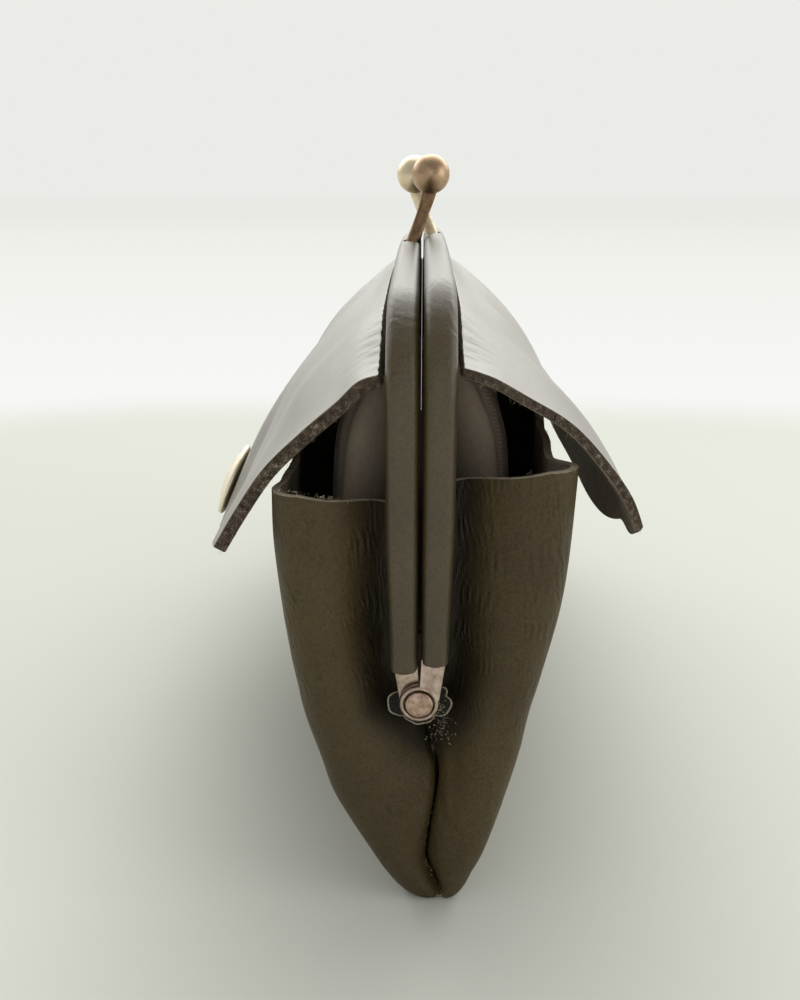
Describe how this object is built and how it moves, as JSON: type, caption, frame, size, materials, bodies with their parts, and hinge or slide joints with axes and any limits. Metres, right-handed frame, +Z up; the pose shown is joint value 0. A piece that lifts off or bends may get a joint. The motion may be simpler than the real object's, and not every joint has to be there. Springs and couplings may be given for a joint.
{
  "type": "kiss lock purse",
  "caption": "Leather kiss lock purse with a covered clasp frame, crossing ball lock, open slip pockets and overhanging flaps.",
  "frame": {"origin": "on the surface the purse stands on, under the middle of the clasp frame", "axes": "+X along the purse's length, -Y towards the front with the snap, +Z up to the kiss lock"},
  "size_m": [0.1804, 0.0898, 0.1229],
  "materials": {
    "body_leather": "olive taupe full-grain leather, fine pebble, satin",
    "cover_leather": "the same leather skived thin and wrapped round the frame",
    "flap_leather": "full-grain leather with dark raw cut edges",
    "bag_cloth": "fine even-textured taupe",
    "frame_metal": "antiqued nickel brass, slightly stained",
    "rivet_metal": "antiqued nickel brass",
    "snap_metal": "pale gold plate, polished",
    "pad": "grey set glue on fibre"
  },
  "bodies": {
    "root": {"frame_front": "frame_metal", "frame_back": "frame_metal", "frame_cover_front": "cover_leather", "frame_cover_back": "cover_leather", "hinge_rivet_left": "rivet_metal", "hinge_rivet_right": "rivet_metal", "hinge_pad_left": "pad", "hinge_pad_right": "pad", "inner_bag": "bag_cloth", "outer_wall_front": "body_leather", "outer_wall_back": "body_leather", "flap_front": "flap_leather", "flap_back": "flap_leather", "snap_cap_front": "snap_metal", "snap_stud_front": "snap_metal"}
  },
  "joints": []
}
